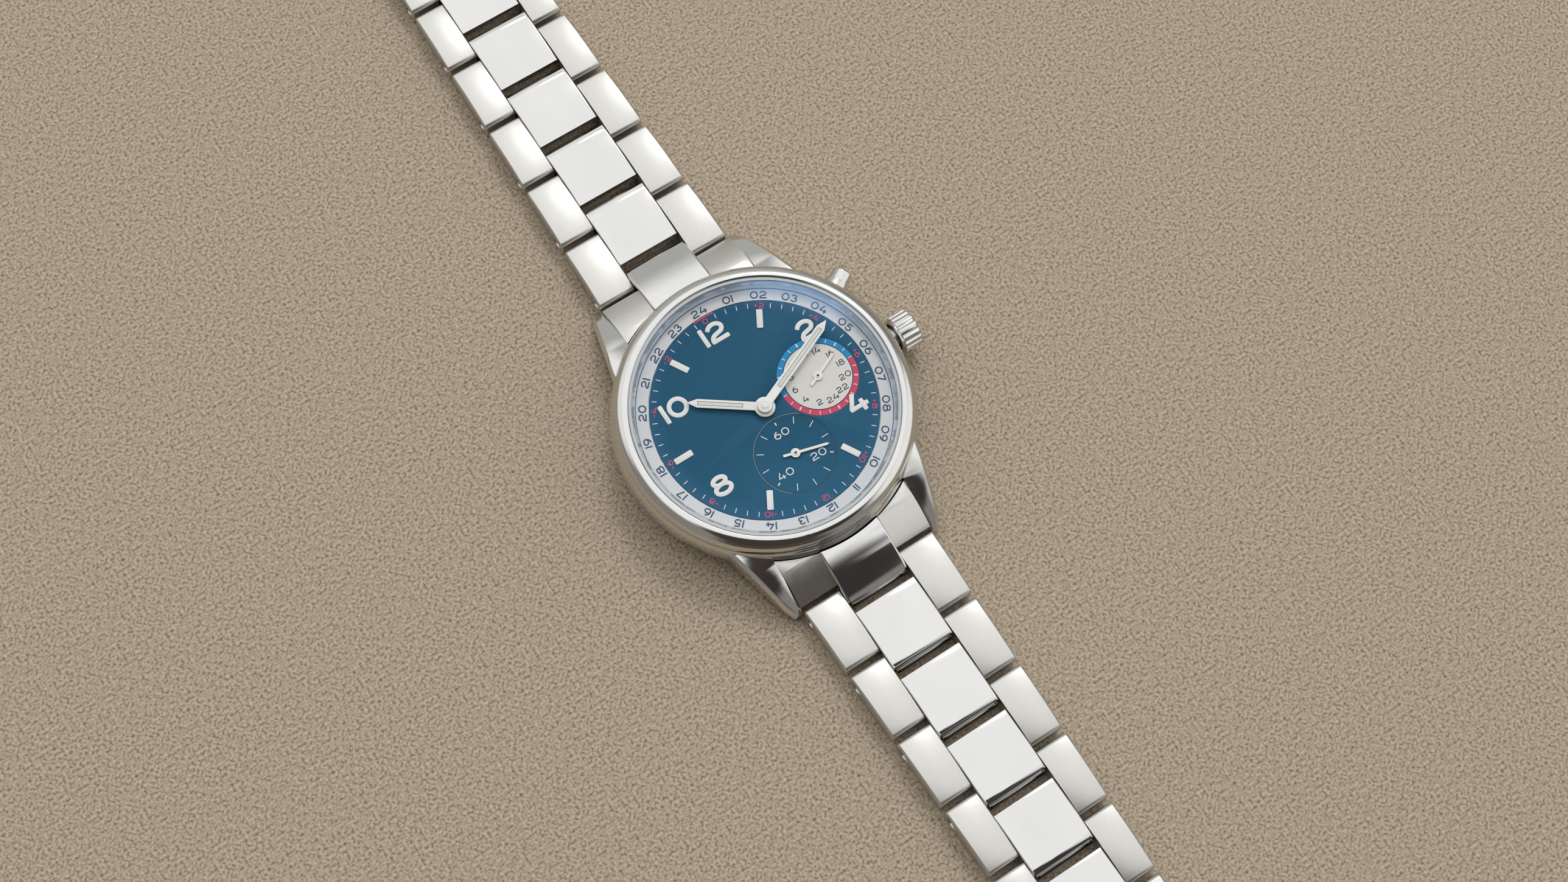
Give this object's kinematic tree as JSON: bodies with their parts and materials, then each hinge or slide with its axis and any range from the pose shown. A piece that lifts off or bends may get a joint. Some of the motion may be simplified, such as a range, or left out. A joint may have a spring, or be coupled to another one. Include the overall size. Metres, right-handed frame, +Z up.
{
  "type": "wristwatch",
  "caption": "World time wristwatch with domed crystal, blue dial, two sub-dials, turning zone ring, fluted crown, side pusher and tapered link bracelet with folding clasp, laid flat.",
  "frame": {"origin": "on the case axis, in the plane of the case back that the watch lies on", "axes": "+X towards 3 o'clock and the crown, +Y towards 12 o'clock along the bracelet, +Z up out of the crystal"},
  "size_m": [0.0439, 0.2123, 0.0099],
  "materials": {
    "polished_steel": "polished steel",
    "satin_steel": "satin, brushed",
    "crystal_glass": "clear sapphire, domed",
    "black_rubber": "matte",
    "holder_plastic": "matte",
    "pale_plastic": "matte, pale grey",
    "plated_brass": "rhodium plated",
    "rotor_brass": "rhodium plated, sunray brushed",
    "wheel_brass": "gilt",
    "stem_steel": "turned",
    "dial_blue": "satin blue",
    "ring_white": "satin white",
    "lume_white": "off-white"
  },
  "bodies": {
    "case": {"case_middle": "polished_steel", "bezel": "polished_steel", "crystal": "crystal_glass", "crystal_gasket": "pale_plastic", "flange_ring": "polished_steel", "case_back": "satin_steel", "case_back_glass": "crystal_glass", "crown_tube": "polished_steel", "pusher_tube": "polished_steel", "movement_ring": "holder_plastic", "main_plate": "plated_brass", "three_quarter_plate": "plated_brass", "balance_cock": "plated_brass", "dial": "dial_blue", "hour_markers": "lume_white", "end_link_12": "satin_steel", "end_link_6": "satin_steel", "spring_bars": "satin_steel"},
    "crown_slide": {"crown_seal": "black_rubber"},
    "crown_turn": {"crown": "polished_steel", "winding_stem": "stem_steel"},
    "pusher": {"pusher_button": "polished_steel"},
    "corrector": {"corrector_button": "polished_steel"},
    "rotor": {"rotor": "rotor_brass"},
    "balance": {"balance_wheel": "wheel_brass"},
    "zone_ring": {"city_ring": "ring_white"},
    "minute": {"minute_hand": "lume_white", "cannon_pinion": "wheel_brass"},
    "motion_wheel": {"minute_wheel": "wheel_brass"},
    "hour": {"hour_hand": "lume_white", "hour_wheel": "wheel_brass"},
    "home_time": {"home_time_hand": "lume_white"},
    "seconds": {"seconds_hand": "lume_white"},
    "link_12_1": {"side_links_12_1": "satin_steel", "centre_link_12_1": "polished_steel"},
    "link_12_2": {"side_links_12_2": "satin_steel", "centre_link_12_2": "polished_steel"},
    "link_12_3": {"side_links_12_3": "satin_steel", "centre_link_12_3": "polished_steel"},
    "link_12_4": {"side_links_12_4": "satin_steel", "centre_link_12_4": "polished_steel"},
    "link_12_5": {"side_links_12_5": "satin_steel", "centre_link_12_5": "polished_steel"},
    "link_12_6": {"side_links_12_6": "satin_steel", "centre_link_12_6": "polished_steel"},
    "link_6_1": {"side_links_6_1": "satin_steel", "centre_link_6_1": "polished_steel"},
    "link_6_2": {"side_links_6_2": "satin_steel", "centre_link_6_2": "polished_steel"},
    "link_6_3": {"side_links_6_3": "satin_steel", "centre_link_6_3": "polished_steel"},
    "link_6_4": {"side_links_6_4": "satin_steel", "centre_link_6_4": "polished_steel"},
    "link_6_5": {"side_links_6_5": "satin_steel", "centre_link_6_5": "polished_steel"},
    "link_6_6": {"side_links_6_6": "satin_steel", "centre_link_6_6": "polished_steel"},
    "cover": {"clasp_cover": "satin_steel"},
    "long_blade": {"clasp_blade_long": "satin_steel"},
    "short_blade": {"clasp_blade_short": "satin_steel"}
  },
  "joints": [
    {"name": "crown_pull", "type": "slide", "parent": "case", "child": "crown_slide", "axis": [1, 0, 0], "range_m": [0, 0.0012]},
    {"name": "crown_wind", "type": "hinge", "parent": "crown_slide", "child": "crown_turn", "pos_m": [0.02, 0, 0.0036], "axis": [1, 0, 0], "continuous": true},
    {"name": "pusher_press", "type": "slide", "parent": "case", "child": "pusher", "axis": [-0.8704, -0.4924, 0], "range_m": [0, 0.0008], "stiffness_N_per_m": 1200},
    {"name": "corrector_press", "type": "slide", "parent": "case", "child": "corrector", "axis": [0.866, 0.5, 0], "range_m": [0, 0.0006], "stiffness_N_per_m": 800},
    {"name": "rotor_turn", "type": "hinge", "parent": "case", "child": "rotor", "pos_m": [0, 0, 0.0022], "axis": [0, 0, 1], "continuous": true},
    {"name": "balance_swing", "type": "hinge", "parent": "case", "child": "balance", "pos_m": [-0.00539, -0.0077, 0.0038], "axis": [0, 0, 1], "range_deg": [-160, 160]},
    {"name": "zone_ring_turn", "type": "hinge", "parent": "case", "child": "zone_ring", "pos_m": [0, 0, 0.0064], "axis": [0, 0, 1], "continuous": true},
    {"name": "minute_turn", "type": "hinge", "parent": "case", "child": "minute", "pos_m": [0, 0, 0.0074], "axis": [0, 0, 1], "continuous": true},
    {"name": "motion_wheel_turn", "type": "hinge", "parent": "case", "child": "motion_wheel", "pos_m": [-0.00198, 0.00198, 0.0056], "axis": [0, 0, 1], "continuous": true},
    {"name": "hour_turn", "type": "hinge", "parent": "case", "child": "hour", "pos_m": [0, 0, 0.0071], "axis": [0, 0, 1], "continuous": true},
    {"name": "home_time_turn", "type": "hinge", "parent": "case", "child": "home_time", "pos_m": [0.0082, 0, 0.0067], "axis": [0, 0, 1], "continuous": true},
    {"name": "seconds_turn", "type": "hinge", "parent": "case", "child": "seconds", "pos_m": [0, -0.0072, 0.0067], "axis": [0, 0, 1], "continuous": true},
    {"name": "link_12_1_hinge", "type": "hinge", "parent": "case", "child": "link_12_1", "pos_m": [0, 0.0259, 0.00155], "axis": [-1, 0, 0], "range_deg": [-5, 25]},
    {"name": "link_12_2_hinge", "type": "hinge", "parent": "link_12_1", "child": "link_12_2", "pos_m": [0, 0.0361, 0.00155], "axis": [-1, 0, 0], "range_deg": [-5, 25]},
    {"name": "link_12_3_hinge", "type": "hinge", "parent": "link_12_2", "child": "link_12_3", "pos_m": [0, 0.0463, 0.00155], "axis": [-1, 0, 0], "range_deg": [-5, 25]},
    {"name": "link_12_4_hinge", "type": "hinge", "parent": "link_12_3", "child": "link_12_4", "pos_m": [0, 0.0565, 0.00155], "axis": [-1, 0, 0], "range_deg": [-5, 25]},
    {"name": "link_12_5_hinge", "type": "hinge", "parent": "link_12_4", "child": "link_12_5", "pos_m": [0, 0.0667, 0.00155], "axis": [-1, 0, 0], "range_deg": [-5, 25]},
    {"name": "link_12_6_hinge", "type": "hinge", "parent": "link_12_5", "child": "link_12_6", "pos_m": [0, 0.0769, 0.00155], "axis": [-1, 0, 0], "range_deg": [-5, 25]},
    {"name": "link_6_1_hinge", "type": "hinge", "parent": "case", "child": "link_6_1", "pos_m": [0, -0.0259, 0.00155], "axis": [1, 0, 0], "range_deg": [-5, 25]},
    {"name": "link_6_2_hinge", "type": "hinge", "parent": "link_6_1", "child": "link_6_2", "pos_m": [0, -0.0361, 0.00155], "axis": [1, 0, 0], "range_deg": [-5, 25]},
    {"name": "link_6_3_hinge", "type": "hinge", "parent": "link_6_2", "child": "link_6_3", "pos_m": [0, -0.0463, 0.00155], "axis": [1, 0, 0], "range_deg": [-5, 25]},
    {"name": "link_6_4_hinge", "type": "hinge", "parent": "link_6_3", "child": "link_6_4", "pos_m": [0, -0.0565, 0.00155], "axis": [1, 0, 0], "range_deg": [-5, 25]},
    {"name": "link_6_5_hinge", "type": "hinge", "parent": "link_6_4", "child": "link_6_5", "pos_m": [0, -0.0667, 0.00155], "axis": [1, 0, 0], "range_deg": [-5, 25]},
    {"name": "link_6_6_hinge", "type": "hinge", "parent": "link_6_5", "child": "link_6_6", "pos_m": [0, -0.0769, 0.00155], "axis": [1, 0, 0], "range_deg": [-5, 25]},
    {"name": "cover_hinge", "type": "hinge", "parent": "link_12_6", "child": "cover", "pos_m": [0, 0.0871, 0.00155], "axis": [-1, 0, 0], "range_deg": [-5, 25]},
    {"name": "long_blade_hinge", "type": "hinge", "parent": "cover", "child": "long_blade", "pos_m": [0, 0.11795, 0.00128], "axis": [-1, 0, 0], "range_deg": [-120, 0]},
    {"name": "short_blade_hinge", "type": "hinge", "parent": "long_blade", "child": "short_blade", "pos_m": [0, 0.09555, 0.00122], "axis": [1, 0, 0], "range_deg": [-155, 0]}
  ],
  "couplings": [
    {"joint": "motion_wheel_turn", "follows": "minute_turn", "ratio": -0.33333},
    {"joint": "hour_turn", "follows": "minute_turn", "ratio": 0.083333},
    {"joint": "home_time_turn", "follows": "minute_turn", "ratio": 0.041667}
  ]
}
